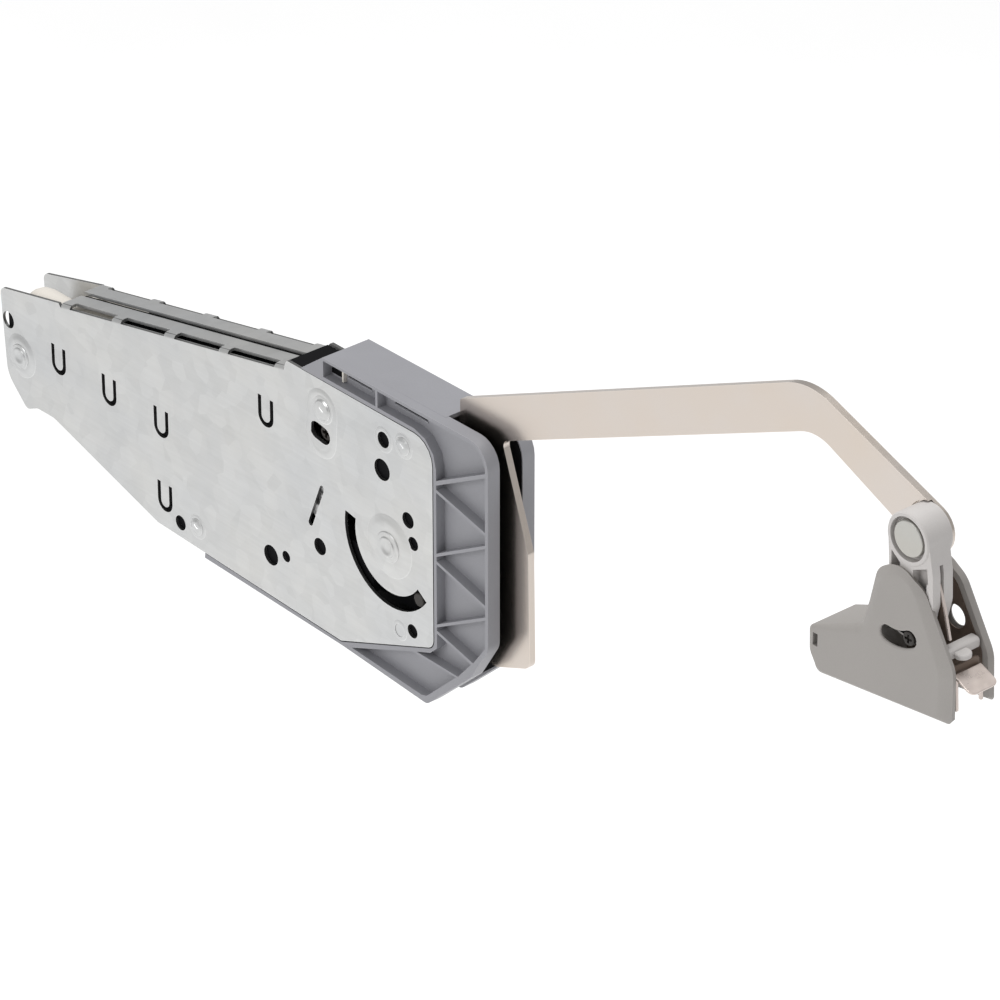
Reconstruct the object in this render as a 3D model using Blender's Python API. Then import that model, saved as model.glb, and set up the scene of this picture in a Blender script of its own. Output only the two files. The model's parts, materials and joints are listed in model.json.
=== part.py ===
"""Lift-up flap stay for a cabinet: spring-loaded body, lift arm, door link and clip-on door bracket.

Row frame: the origin is where the main pivot axis meets the face that bears on the cabinet side.
+X points forward to the door, +Z up, +Y out through that face into the cabinet side panel.
Lengths below are millimetres. Depths (y) are counted from the open side plate's outer face.
"""
import math

import bmesh
import bpy
from mathutils import Matrix, Vector

MM = 0.001

# ---------------------------------------------------------------- driving dimensions
BODY_W = 22.0            # over both side plates
SHEET = 1.3              # side plate thickness
GAP = 0.3                # air between touching pieces
BEND_R = 2.0             # outer radius of the folded top flange
SLOPE = math.radians(11.8)  # fall of the top edge towards the rear

REAR_X = -235.8          # rear edge of the side plates
FRONT_X = 24.4           # front edge of the side plates
TOP_Z = 53.0             # top edge of the side plates at the front
BOTTOM_Z = -53.0         # lowest edge of the side plates
FLANGE_X0 = -196.0       # rear end of the folded flanges
FLANGE_X1 = -59.6        # front end of the folded flanges
FLANGE_DROP = 3.0        # the flange's front end lies this far below the plate's top edge
FLANGE_SEAM = 1.5        # open gap between the two flanges
FLANGE_SLOT_W = 3.6      # width of the flange slots across the body
FAR_LIFT = 1.2           # the bearing-side plate's flange stands this much higher

MAIN_PIVOT = (0.0, 0.0)
REAR_PIVOT = (-223.6, -12.3)
PIVOT_R = 5.0            # main pivot shaft
TRACK_R = 22.3           # radius on which the drive pin travels
DRIVE_R = 2.7            # drive pin radius
DRIVE_ANGLE = 315.0      # drive pin's place on the track, arm open

HALF_D = 5.6             # depth of one plastic housing half
HOUSING_FRONT = 54.6
HOUSING_TOP = 63.2
RIB_FLOOR = 4.1          # depth of the ribbed recess
SLOT_START = 27.0        # where the arm slot in the housing's top begins
DECK_X0 = -36.9          # straight rear end of the housing's top deck

ARM_Y0 = 9.6             # open face of the arm
ARM_T = 2.8
ARM_W = 17.0
ARM_END = (261.0, 117.5)  # door-side pin
ARM_END_R = 8.9
SEAT_R = 10.0            # shallow round seat for the link's boss in the arm's open face
SEAT_FLOOR = 11.1

LINK_Y0 = 0.2
LINK_Y1 = 9.3
COVER_Y0 = -1.9
COVER_W = 20.4
COVER_WALL = 1.8
TILT_AXIS = (256.8, 95.1)
TILT_TRACK_R = 15.2
COVER_TILT = math.radians(6.5)
SCREW_POS = (264.2, 82.0)
LEVER_AXIS = (281.6, 74.4)
EAR_HOLE = (267.5, 85.0)
BASE_X1 = 264.0          # front end of the bracket's metal base

DOME = (-226.5, 9.0, 8.6)  # rear tip of the seat's rounded hump
SPRING_Z = (-2.0, -21.0)
SPRING_X0 = -199.6
SPRING_X1 = -112.4
SPRING_R = 6.9           # coil mean radius
WIRE_R = 1.05
COILS = 11
STROKE = 35.6            # yoke travel from open to closed

MATERIALS = {
    "zinc_sheet": ((0.60, 0.61, 0.60), 0.42, 0.9),
    "grey_housing": ((0.31, 0.32, 0.345), 0.5, 0.0),
    "nickel_arm": ((0.66, 0.60, 0.54), 0.3, 0.95),
    "bright_steel": ((0.66, 0.66, 0.63), 0.28, 1.0),
    "dark_steel": ((0.10, 0.09, 0.08), 0.45, 0.8),
    "spring_steel": ((0.22, 0.21, 0.20), 0.35, 0.9),
    "white_plastic": ((0.75, 0.72, 0.66), 0.45, 0.0),
    "black_plastic": ((0.02, 0.02, 0.02), 0.5, 0.0),
    "link_plastic": ((0.56, 0.56, 0.58), 0.42, 0.0),
    "cover_plastic": ((0.39, 0.375, 0.355), 0.5, 0.0),
    "yellow_zinc": ((0.62, 0.54, 0.46), 0.33, 0.95),
}


# ---------------------------------------------------------------- small tools
def clear_scene():
    for item in list(bpy.data.objects):
        bpy.data.objects.remove(item, do_unlink=True)


def make_material(name):
    colour, rough, metal = MATERIALS[name]
    mat = bpy.data.materials.get(name) or bpy.data.materials.new(name)
    mat.use_nodes = True
    shader = mat.node_tree.nodes["Principled BSDF"]
    shader.inputs["Base Color"].default_value = (*colour, 1.0)
    shader.inputs["Roughness"].default_value = rough
    shader.inputs["Metallic"].default_value = metal
    return mat


def point(x, y, z):
    """Millimetres, with depth counted from the open side plate, to row-frame metres."""
    return Vector((x, y - BODY_W, z)) * MM


def finish(name, bm, mat, pivot=None, sharp=35.0):
    """Turn a bmesh in row-frame metres into a named object whose origin is on its joint axis."""
    origin = point(*pivot) if pivot else Vector((0.0, 0.0, 0.0))
    bmesh.ops.translate(bm, verts=bm.verts, vec=-origin)
    mesh = bpy.data.meshes.new(name)
    bm.to_mesh(mesh)
    bm.free()
    mesh.materials.append(make_material(mat))
    mesh.shade_smooth()
    mesh.set_sharp_from_angle(angle=math.radians(sharp))
    obj = bpy.data.objects.new(name, mesh)
    obj.location = origin
    bpy.context.scene.collection.objects.link(obj)
    return obj


def face_outward(bm, faces):
    """Point one closed solid's faces outward."""
    bmesh.ops.recalc_face_normals(bm, faces=faces)
    volume = 0.0
    for face in faces:
        first = face.verts[0].co
        for a, b in zip(face.verts[1:], face.verts[2:]):
            volume += first.dot(a.co.cross(b.co))
    if volume < 0.0:
        bmesh.ops.reverse_faces(bm, faces=faces)


def combine(obj, bm, operation):
    """Boolean between obj and the closed solids in bm, which don't overlap each other."""
    mesh = bpy.data.meshes.new(obj.name + "_cutter")
    bm.to_mesh(mesh)
    bm.free()
    cutter = bpy.data.objects.new(obj.name + "_cutter", mesh)
    cutter.hide_render = True
    cutter.display_type = "WIRE"
    bpy.context.scene.collection.objects.link(cutter)
    step = obj.modifiers.new(operation.lower(), "BOOLEAN")
    step.operation = operation
    step.solver = "EXACT"
    step.object = cutter


def hollow(obj, bm):
    combine(obj, bm, "DIFFERENCE")


def join_solid(obj, bm):
    combine(obj, bm, "UNION")


def fillet(corners, steps=5):
    """Outline from (x, z) or (x, z, radius) corners, with each radius drawn as an arc."""
    out = []
    count = len(corners)
    for i, corner in enumerate(corners):
        here = Vector(corner[:2])
        radius = corner[2] if len(corner) > 2 else 0.0
        if radius <= 0.0:
            out.append(tuple(here))
            continue
        back = (Vector(corners[i - 1][:2]) - here).normalized()
        ahead = (Vector(corners[(i + 1) % count][:2]) - here).normalized()
        half = 0.5 * math.acos(max(-1.0, min(1.0, back.dot(ahead))))
        reach = radius / math.tan(half)
        centre = here + (back + ahead).normalized() * (radius / math.sin(half))
        start = here + back * reach - centre
        end = here + ahead * reach - centre
        turn = start.angle_signed(end)
        for k in range(steps + 1):
            a = -turn * k / steps
            cos_a = math.cos(a)
            sin_a = math.sin(a)
            out.append((centre.x + start.x * cos_a - start.y * sin_a,
                        centre.y + start.x * sin_a + start.y * cos_a))
    return out


def circle(cx, cz, r, n=24):
    return [(cx + r * math.cos(math.tau * k / n), cz + r * math.sin(math.tau * k / n)) for k in range(n)]


def stadium(x0, z0, x1, z1, r, n=8):
    """Round-ended slot from one end's centre to the other's."""
    heading = math.atan2(z1 - z0, x1 - x0)
    out = []
    for cx, cz, base in ((x1, z1, heading - math.pi / 2), (x0, z0, heading + math.pi / 2)):
        for k in range(n + 1):
            a = base + math.pi * k / n
            out.append((cx + r * math.cos(a), cz + r * math.sin(a)))
    return out


def sector(cx, cz, r0, r1, a0, a1, n=24):
    """Curved slot between two radii and two angles in degrees."""
    angles = [math.radians(a0 + (a1 - a0) * k / n) for k in range(n + 1)]
    outer = [(cx + r1 * math.cos(a), cz + r1 * math.sin(a)) for a in angles]
    inner = [(cx + r0 * math.cos(a), cz + r0 * math.sin(a)) for a in reversed(angles)]
    return outer + inner


def curved_slot(cx, cz, r, half, a0, a1, n=10):
    """Curved slot of half width `half` with round ends."""
    out = []
    for k in range(n + 1):
        a = math.radians(a0 + (a1 - a0) * k / n)
        out.append((cx + (r + half) * math.cos(a), cz + (r + half) * math.sin(a)))
    for k in range(1, 8):
        a = math.radians(a1) + math.pi * k / 8
        out.append((cx + r * math.cos(math.radians(a1)) + half * math.cos(a),
                    cz + r * math.sin(math.radians(a1)) + half * math.sin(a)))
    for k in range(n + 1):
        a = math.radians(a1 + (a0 - a1) * k / n)
        out.append((cx + (r - half) * math.cos(a), cz + (r - half) * math.sin(a)))
    for k in range(1, 8):
        a = math.radians(a0) + math.pi + math.pi * k / 8
        out.append((cx + r * math.cos(math.radians(a0)) + half * math.cos(a),
                    cz + r * math.sin(math.radians(a0)) + half * math.sin(a)))
    return out


def slab(bm, outline, y0, y1, holes=()):
    """Add a flat solid between two depths, with its holes left open."""
    before = set(bm.faces)
    edges = []
    for loop in (outline, *holes):
        verts = [bm.verts.new(point(x, y0, z)) for x, z in loop]
        edges += [bm.edges.new((verts[i - 1], verts[i])) for i in range(len(verts))]
    filled = bmesh.ops.triangle_fill(bm, edges=edges, use_beauty=True)
    faces = [g for g in filled["geom"] if isinstance(g, bmesh.types.BMFace)]
    if not holes:
        faces = bmesh.ops.dissolve_faces(bm, faces=faces)["region"]
    grown = bmesh.ops.extrude_face_region(bm, geom=faces, use_keep_orig=True)
    moved = [g for g in grown["geom"] if isinstance(g, bmesh.types.BMVert)]
    bmesh.ops.translate(bm, verts=moved, vec=Vector((0.0, (y1 - y0) * MM, 0.0)))
    face_outward(bm, [f for f in bm.faces if f not in before])


def turned(bm, profile, place, n=32):
    """Solid of revolution from (station, radius) pairs along local Z, set by matrix `place`."""
    before = set(bm.faces)
    rings = []
    for station, radius in profile:
        ring = []
        for k in range(n):
            a = math.tau * k / n
            local = Vector((radius * math.cos(a), radius * math.sin(a), station)) * MM
            ring.append(bm.verts.new(place @ local))
        rings.append(ring)
    for low, high in zip(rings, rings[1:]):
        for k in range(n):
            bm.faces.new((low[k - 1], low[k], high[k], high[k - 1]))
    bm.faces.new(list(reversed(rings[0])))
    bm.faces.new(rings[-1])
    face_outward(bm, [f for f in bm.faces if f not in before])


def across(x, z):
    """Place for a turned piece whose axis crosses the body: station 0 at the open face, +Y inward."""
    return Matrix.Translation(point(x, 0.0, z)) @ Matrix.Rotation(-math.pi / 2, 4, "X")


def along(x, y, z):
    """Place for a turned piece whose axis runs along +X from (x, y, z)."""
    return Matrix.Translation(point(x, y, z)) @ Matrix.Rotation(math.pi / 2, 4, "Y")


def box(bm, x0, x1, y0, y1, z0, z1):
    slab(bm, [(x0, z0), (x1, z0), (x1, z1), (x0, z1)], y0, y1)


def top_line(x):
    """Height of the sloping top edge at x."""
    return TOP_Z - FLANGE_DROP + math.tan(SLOPE) * (x - FLANGE_X1)


# ---------------------------------------------------------------- side plates
PLATE_HOLES = (
    (-231.2, 0.6, 3.6), (-124.5, -44.4, 3.1), (-69.3, -34.3, 4.2), (-60.2, -30.9, 2.3), (-40.0, -17.7, 3.45),
    (-2.7, 43.0, 3.2), (-3.6, 30.3, 4.35), (10.7, 15.5, 3.2), (13.5, 6.9, 2.75), (12.7, -30.2, 2.8),
)
RIVET_SPOTS = ((-114.1, -41.6), (8.5, 45.1))
UPPER_RIVET = (-36.5, 41.4)
CLIP_SLOTS = ((-199.0, -4.0), (-167.0, -4.3), (-134.7, -4.8), (-133.8, -36.8), (-70.5, 26.6))
FLANGE_SLOTS = ((-190.5, -163.8), (-158.2, -131.3), (-125.0, -98.0), (-92.6, -65.0))
DIAGONAL = ((-38.3, 7.6), (-45.3, -9.8))
FORCE_SCREW = (-36.6, 31.2)
FORCE_WINDOW = (-40.6, 31.4, -36.1, 30.7, 3.5)


def plate_outline(fold, lift):
    """Side plate outline. `fold` lowers the sloping edge to where the flange's bend begins; `lift` raises it."""
    drop = fold / math.cos(SLOPE) - lift
    return fillet([
        (REAR_X + 0.3 * lift, top_line(REAR_X) - 0.7 * lift, 3.0),
        (FLANGE_X0 - 1.5, top_line(FLANGE_X0 - 1.5) + 0.5 * lift),
        (FLANGE_X0, top_line(FLANGE_X0) - drop),
        (FLANGE_X1, top_line(FLANGE_X1) - drop),
        (FLANGE_X1 + 0.6, top_line(FLANGE_X1) + lift),
        (-57.6, TOP_Z, 1.2),
        (FRONT_X, TOP_Z, 10.0),
        (FRONT_X, -31.9, 4.5),
        (-28.6, BOTTOM_Z, 3.0),
        (-139.0, -50.4, 5.0),
        (-204.0, -31.8, 12.0),
        (-214.5, -32.0, 4.0),
        (-221.5, -35.2, 3.0),
        (-233.4, -24.0, 11.0),
    ])


def plate_holes(side):
    loops = [circle(x, z, r) for x, z, r in PLATE_HOLES]
    loops += [circle(x, z, 2.5, 16) for x, z in RIVET_SPOTS]
    loops.append(sector(0.0, 0.0, 19.3, 25.3, 170.0, 325.0))
    loops.append(stadium(*DIAGONAL[0], *DIAGONAL[1], 1.25, 6))
    for x, z in CLIP_SLOTS:
        loops.append(clip_slot(x, z))
    if side == "far":
        loops += [circle(*UPPER_RIVET, 2.9, 20), circle(*REAR_PIVOT, 3.3, 20), stadium(*FORCE_WINDOW)]
    return loops


def clip_slot(x, z):
    """U-shaped lance slot, open at the top: two legs 7 apart and a half-round foot."""
    half = 1.0
    leg = 3.5
    top = z + 5.7
    foot = z - 2.1
    out = [(x - leg - half, top), (x - leg - half, foot)]
    for k in range(1, 12):
        a = math.pi + math.pi * k / 12
        out.append((x + (leg + half) * math.cos(a), foot + (leg + half) * math.sin(a)))
    out += [(x + leg + half, foot), (x + leg + half, top), (x + leg - half, top), (x + leg - half, foot)]
    for k in range(1, 10):
        a = -math.pi * k / 10
        out.append((x + (leg - half) * math.cos(a), foot + (leg - half) * math.sin(a)))
    out += [(x - leg + half, foot), (x - leg + half, top)]
    return out


def fold_flange(bm, side, lift):
    """Roll the sloping top wall of the sheet inward through 90 degrees, then run it to mid width."""
    inward = 1.0 if side == "near" else -1.0
    outer_y = 0.0 if side == "near" else BODY_W
    bm.faces.ensure_lookup_table()
    normal = Vector((-math.sin(SLOPE), 0.0, math.cos(SLOPE)))
    wall = max((f for f in bm.faces if f.normal.dot(normal) > 0.999), key=lambda f: f.calc_area())
    drop = BEND_R / math.cos(SLOPE) - lift
    pivot = point(FLANGE_X0, outer_y + inward * BEND_R, top_line(FLANGE_X0) - drop)
    axis = Vector((math.cos(SLOPE), 0.0, math.sin(SLOPE)))
    steps = 5
    turn = Matrix.Rotation(-inward * math.pi / 2 / steps, 3, axis)
    face = wall
    for _ in range(steps):
        grown = bmesh.ops.extrude_discrete_faces(bm, faces=[face])
        face = grown["faces"][0]
        bmesh.ops.rotate(bm, verts=face.verts, cent=pivot, matrix=turn)
    grown = bmesh.ops.extrude_discrete_faces(bm, faces=[face])
    face = grown["faces"][0]
    reach = (BODY_W - FLANGE_SEAM) / 2 - BEND_R
    bmesh.ops.translate(bm, verts=face.verts, vec=Vector((0.0, inward * reach * MM, 0.0)))


def side_plate(name, side):
    y0 = 0.0 if side == "near" else BODY_W - SHEET
    lift = 0.0 if side == "near" else FAR_LIFT
    bm = bmesh.new()
    slab(bm, plate_outline(BEND_R, lift), y0, y0 + SHEET, plate_holes(side))
    fold_flange(bm, side, lift)
    plate = finish(name, bm, "zinc_sheet", sharp=30.0)
    cutter = bmesh.new()
    outer = 0.0 if side == "near" else BODY_W
    inward = 1.0 if side == "near" else -1.0
    edges = sorted((outer - inward, outer + inward * FLANGE_SLOT_W))
    for x0, x1 in FLANGE_SLOTS:
        low = top_line(x0) + lift
        high = top_line(x1) + lift
        outline = [(x0, low - 1.6), (x1, high - 1.6), (x1, high + 1.0), (x0, low + 1.0)]
        slab(cutter, outline, *edges)
    hollow(plate, cutter)
    if side == "near":
        boss(plate, MAIN_PIVOT, 11.5, 9.0, 0.7, 3.3)
        boss(plate, REAR_PIVOT, 8.2, 6.8, 0.7, 3.3)
        emboss(plate)
    return plate


def emboss(plate):
    """Long pressed island around the upper rivet and the force window."""
    bm = bmesh.new()
    slab(bm, stadium(-38.2, 29.4, -37.4, 40.6, 7.4, 10), -0.35, 0.2)
    join_solid(plate, bm)
    bm = bmesh.new()
    slab(bm, circle(*UPPER_RIVET, 2.9, 20), -1.0, 3.0)
    slab(bm, stadium(*FORCE_WINDOW), -1.0, 3.0)
    hollow(plate, bm)


def boss(plate, centre, r_foot, r_face, height, bore):
    """Pressed boss around a pivot, standing out of the open side plate."""
    bm = bmesh.new()
    turned(bm, [(-height, r_face), (0.2, r_foot)], across(*centre), 32)
    join_solid(plate, bm)
    bm = bmesh.new()
    turned(bm, [(-2.0, bore), (3.0, bore)], across(*centre), 24)
    hollow(plate, bm)


# ---------------------------------------------------------------- plastic housing halves
def housing_outline():
    """C-shaped half: wraps the plates' top, front and lower front edges, with a thin lip behind them."""
    outer = fillet([
        (-110.0, -53.4), (-28.0, -54.8), (20.6, -57.6, 4.0), (45.0, -35.2, 6.0),
        (HOUSING_FRONT, -19.5, 8.0), (HOUSING_FRONT, HOUSING_TOP, 10.0), (DECK_X0, 62.6),
    ], 6)
    inner = fillet([
        (-50.8, 52.3), (-50.4, 50.4), (15.0, 50.4, 4.0), (20.8, 44.5, 6.0),
        (20.8, -30.0, 4.0), (-30.0, -50.0, 4.0), (-109.5, -48.6),
    ], 4)
    return outer + inner


RIB_CELLS = (
    ((-36.4, 54.9), (-6.9, 54.9), (-6.9, 61.5), (-36.4, 61.5)),
    ((-5.8, 61.6), (-5.8, 54.9), (14.4, 54.9), (20.5, 53.2), (25.0, 48.5), (26.4, 43.0), (26.4, 38.4),
     (53.1, 52.6), (53.1, 54.5), (51.0, 59.5), (46.5, 61.6)),
    ((26.4, 36.6), (26.4, 34.9), (53.1, 28.7), (53.1, 51.0)),
    ((26.4, 33.7), (26.4, 8.5), (53.1, 23.5), (53.1, 27.5)),
    ((26.4, 7.2), (26.4, 5.4), (53.1, -1.3), (53.1, 22.2)),
    ((26.4, 4.2), (26.4, -21.1), (53.1, -6.1), (53.1, -2.5)),
    ((26.4, -22.3), (26.4, -23.7), (46.4, -28.4), (53.1, -19.2), (53.1, -7.4)),
    ((26.4, -24.9), (26.4, -31.2), (22.5, -34.9), (14.7, -37.9), (38.0, -37.9), (45.3, -29.4)),
    ((12.6, -38.8), (-22.5, -53.3), (17.4, -55.1), (20.4, -54.2), (36.8, -38.8)),
)


def mirror_depth(bm):
    """Swap the two sides of the body."""
    middle = point(0.0, BODY_W / 2, 0.0).y
    for vert in bm.verts:
        vert.co.y = 2.0 * middle - vert.co.y
    bmesh.ops.reverse_faces(bm, faces=bm.faces)


def housing_half(name, side):
    """The open side's half carries the top deck across the full width; the other half makes room for it."""
    bm = bmesh.new()
    slab(bm, housing_outline(), 0.0, HALF_D)
    deck = bmesh.new()
    if side == "near":
        outline = [(DECK_X0, 62.58), (SLOT_START, 63.1), (SLOT_START, 61.5), (DECK_X0, 61.0)]
        slab(deck, outline, HALF_D - 1.5, BODY_W)
    else:
        rear = DECK_X0 - GAP
        front = SLOT_START + GAP
        slab(deck, [(rear, 66.0), (front, 66.0), (front, 61.2), (rear, 60.7)], -1.0, HALF_D + 1.0)
    bed = bmesh.new()
    pad = SHEET + 0.3
    slab(bed, fillet([
        (-120.0, -51.1), (-139.0, -40.0), (-139.0, 60.0), (-56.0, 53.2), (FRONT_X + 0.5, 53.45, 10.4),
        (FRONT_X + 0.5, -32.2, 4.9), (-28.5, -53.5, 3.0),
    ]), -2.0, pad)
    cells = bmesh.new()
    for cell in RIB_CELLS:
        slab(cells, cell, -2.0, RIB_FLOOR)
    for part in (bm, deck, bed, cells):
        if side == "far":
            mirror_depth(part)
    half = finish(name, bm, "grey_housing", sharp=30.0)
    if side == "near":
        join_solid(half, deck)
    else:
        hollow(half, deck)
    hollow(half, bed)
    hollow(half, cells)
    return half


# ---------------------------------------------------------------- pins and rivets
def pins():
    inner = BODY_W - SHEET - GAP
    bm = bmesh.new()
    turned(bm, [(-2.1, 2.6), (-2.0, 4.6), (-1.0, 4.8), (-1.0, 3.0), (SHEET + GAP, 3.0), (SHEET + GAP, PIVOT_R),
                (inner, PIVOT_R)], across(*MAIN_PIVOT), 48)
    finish("main_pivot_pin", bm, "zinc_sheet", (0.0, 0.0, 0.0))
    bm = bmesh.new()
    turned(bm, [(-1.9, 2.3), (-1.8, 4.2), (-1.0, 4.4), (-1.0, 3.0), (inner, 3.0)], across(*REAR_PIVOT))
    finish("rear_pivot_pin", bm, "zinc_sheet")
    bm = bmesh.new()
    turned(bm, [(-1.5, 2.2), (-1.3, 3.6), (-0.65, 4.4), (-0.65, 2.6), (SHEET + GAP, 2.6), (SHEET + GAP, 4.0),
                (inner, 4.0), (inner, 2.6), (BODY_W - 0.1, 2.6)], across(*UPPER_RIVET))
    finish("upper_rivet", bm, "zinc_sheet")
    for name, spot in zip(("lower_rivet", "front_rivet"), RIVET_SPOTS):
        bm = bmesh.new()
        turned(bm, [(-1.0, 2.4), (-GAP, 3.7), (-GAP, 2.2), (SHEET + GAP, 2.2), (SHEET + GAP, 3.2), (inner, 3.2),
                    (inner, 2.2), (BODY_W - 0.1, 2.2)], across(*spot), 20)
        finish(name, bm, "zinc_sheet")


# ---------------------------------------------------------------- spring pack
def spring_pack():
    inner = SHEET + GAP
    bm = bmesh.new()
    slab(bm, fillet([
        (-231.5, -18.0, 5.0), (-229.5, -30.0, 4.0), (-204.0, -31.0, 1.0), (-200.6, -30.0), (-200.6, 13.8),
        (-164.5, 21.5), (-164.5, 24.0, 1.0), (-200.0, 16.8), (-203.0, 8.0, 2.0), (-224.0, 5.0, 4.0),
        (-226.5, -4.0, 3.0),
    ], 4), inner, BODY_W - inner, [circle(*REAR_PIVOT, 3.3, 24)])
    seat = finish("rear_spring_seat", bm, "white_plastic")
    dome = bmesh.new()
    turned(dome, [(0.0, 1.0), (0.6, 3.0), (2.2, 5.2), (5.0, 6.8), (8.5, 7.4), (20.0, 7.4), (24.0, 6.9),
                  (26.5, 5.2)], along(*DOME), 28)
    join_solid(seat, dome)
    for name, z in zip(("upper_guide_rod", "lower_guide_rod"), SPRING_Z):
        bm = bmesh.new()
        turned(bm, [(0.0, 4.6), (2.0, 4.6), (2.0, 2.4), (91.6, 2.4), (92.4, 1.6)],
               along(-200.3, BODY_W / 2, z), 20)
        finish(name, bm, "bright_steel")
    for name, z in zip(("upper_spring", "lower_spring"), SPRING_Z):
        coil_spring(name, z)
    yoke()


def coil_spring(name, z):
    """Round-wire compression spring along +X."""
    length = SPRING_X1 - SPRING_X0 - 2 * WIRE_R
    per_turn = 14
    sides = 6
    bm = bmesh.new()
    rings = []
    total = COILS * per_turn
    for i in range(total + 1):
        t = i / total
        a = math.tau * COILS * t
        centre = Vector((SPRING_X0 + WIRE_R + length * t, BODY_W / 2 + SPRING_R * math.cos(a),
                         z + SPRING_R * math.sin(a)))
        radial = Vector((0.0, math.cos(a), math.sin(a)))
        run = Vector((length / (COILS * math.tau), -SPRING_R * math.sin(a), SPRING_R * math.cos(a)))
        run.normalize()
        side = run.cross(radial).normalized()
        ring = []
        for k in range(sides):
            b = math.tau * k / sides
            spot = centre + (radial * math.cos(b) + side * math.sin(b)) * WIRE_R
            ring.append(bm.verts.new(point(*spot)))
        rings.append(ring)
    for low, high in zip(rings, rings[1:]):
        for k in range(sides):
            bm.faces.new((low[k - 1], low[k], high[k], high[k - 1]))
    bm.faces.new(list(reversed(rings[0])))
    bm.faces.new(rings[-1])
    face_outward(bm, list(bm.faces))
    finish(name, bm, "spring_steel", sharp=70.0)


def yoke():
    """Pressed frame between the springs and the drive pin, moving straight back as the arm closes."""
    lip = 2.2
    bm = bmesh.new()
    slab(bm, fillet([(-112.0, -29.5), (-58.0, -27.0), (-12.0, -26.0), (-12.0, -8.8, 1.0), (-52.0, -8.8, 4.0),
                     (-66.0, 4.0, 3.0), (-112.0, 6.5)]), lip, BODY_W - lip)
    frame = finish("spring_yoke", bm, "dark_steel")
    cut = bmesh.new()
    box(cut, -109.0, -66.0, 4.2, BODY_W - 4.2, -40.0, 20.0)
    box(cut, -58.0, 0.0, ARM_Y0 - 0.5, ARM_Y0 + ARM_T + 0.5, -40.0, 20.0)
    hollow(frame, cut)
    bores = bmesh.new()
    for z in SPRING_Z:
        turned(bores, [(0.0, 2.75), (12.0, 2.75)], along(-116.0, BODY_W / 2, z), 20)
    hollow(frame, bores)
    for y0, y1 in ((6.0, ARM_Y0 - 0.5), (ARM_Y0 + ARM_T + 0.5, BODY_W - 6.0)):
        finger = bmesh.new()
        box(finger, -14.0, 10.0, y0, y1, -26.0, -8.8)
        join_solid(frame, finger)


# ---------------------------------------------------------------- damper and force adjuster
def damper():
    bm = bmesh.new()
    turned(bm, [(0.0, 4.2), (0.8, 5.0), (58.0, 5.0), (59.0, 4.2)], along(-160.0, BODY_W / 2, 14.6))
    body = finish("damper_body", bm, "white_plastic")
    cut = bmesh.new()
    turned(cut, [(20.0, 1.9), (62.0, 1.9)], along(-160.0, BODY_W / 2, 14.6), 20)
    hollow(body, cut)
    bm = bmesh.new()
    turned(bm, [(0.0, 1.5), (40.0, 1.5), (40.0, 2.8), (42.6, 2.8), (43.2, 2.2)],
           along(-122.0, BODY_W / 2, 14.6), 20)
    finish("damper_rod", bm, "bright_steel", (-122.0, BODY_W / 2, 14.6))


def slot_matrix(y):
    """Place for a turned piece lying along the diagonal slot, station 0 at its lower end."""
    top = point(DIAGONAL[0][0], y, DIAGONAL[0][1])
    low = point(DIAGONAL[1][0], y, DIAGONAL[1][1])
    run = (top - low).normalized()
    return Matrix.Translation(low) @ run.to_track_quat("Z", "Y").to_matrix().to_4x4()


def cross_recess(bm, cx, cz, w, reach, y0, y1):
    """Plus-shaped driver recess."""
    slab(bm, [(cx - w, cz - reach), (cx + w, cz - reach), (cx + w, cz - w), (cx + reach, cz - w),
              (cx + reach, cz + w), (cx + w, cz + w), (cx + w, cz + reach), (cx - w, cz + reach),
              (cx - w, cz + w), (cx - reach, cz + w), (cx - reach, cz - w), (cx - w, cz - w)], y0, y1)


def adjuster():
    """Force adjuster: a cross-slot screw, and the pointer nut that shows the setting in the slanted slot."""
    place = slot_matrix(5.4)
    bm = bmesh.new()
    turned(bm, [(3.2, 1.7), (24.5, 1.7)], place, 16)
    finish("adjuster_spindle", bm, "bright_steel")
    bm = bmesh.new()
    turned(bm, [(6.0, 2.9), (16.0, 2.9)], place, 24)
    nut = finish("adjuster_nut", bm, "bright_steel")
    bore = bmesh.new()
    turned(bore, [(0.0, 2.0), (22.0, 2.0)], place, 24)
    hollow(nut, bore)
    bm = bmesh.new()
    turned(bm, [(1.0, 2.7), (1.3, 3.1), (7.5, 3.1)], across(*FORCE_SCREW), 28)
    screw = finish("force_screw", bm, "dark_steel", (FORCE_SCREW[0], 0.0, FORCE_SCREW[1]))
    recess = bmesh.new()
    cross_recess(recess, *FORCE_SCREW, 0.6, 2.0, 0.0, 2.6)
    hollow(screw, recess)


# ---------------------------------------------------------------- lift arm
def arm_outline():
    """One blank: hub on the pivot, root plate in the housing's slot, cranked strip to the door pin."""
    ex, ez = ARM_END
    end_arc = []
    for k in range(13):
        a = math.radians(67.5 - 180.0 * k / 12)
        end_arc.append((ex + ARM_END_R * math.cos(a), ez + ARM_END_R * math.sin(a)))
    hub_arc = []
    for k in range(9):
        a = math.radians(255.0 - 130.0 * k / 8)
        hub_arc.append((12.0 * math.cos(a), 12.0 * math.sin(a)))
    strip = fillet([
        (28.6, 60.0), (28.6, 69.4, 1.5), (203.5, 148.1, 26.0), end_arc[0],
    ], 10)
    under = fillet([
        end_arc[-1], (207.5, 131.3, 17.0), (51.3, 61.7, 3.0), (65.4, 21.4, 3.0), (66.3, -25.4, 4.0),
        (46.7, -33.4, 6.0), (33.0, -26.0, 8.0), (14.0, -25.0, 6.0),
    ], 8)
    return strip[:-1] + end_arc + under[1:] + hub_arc


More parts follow.
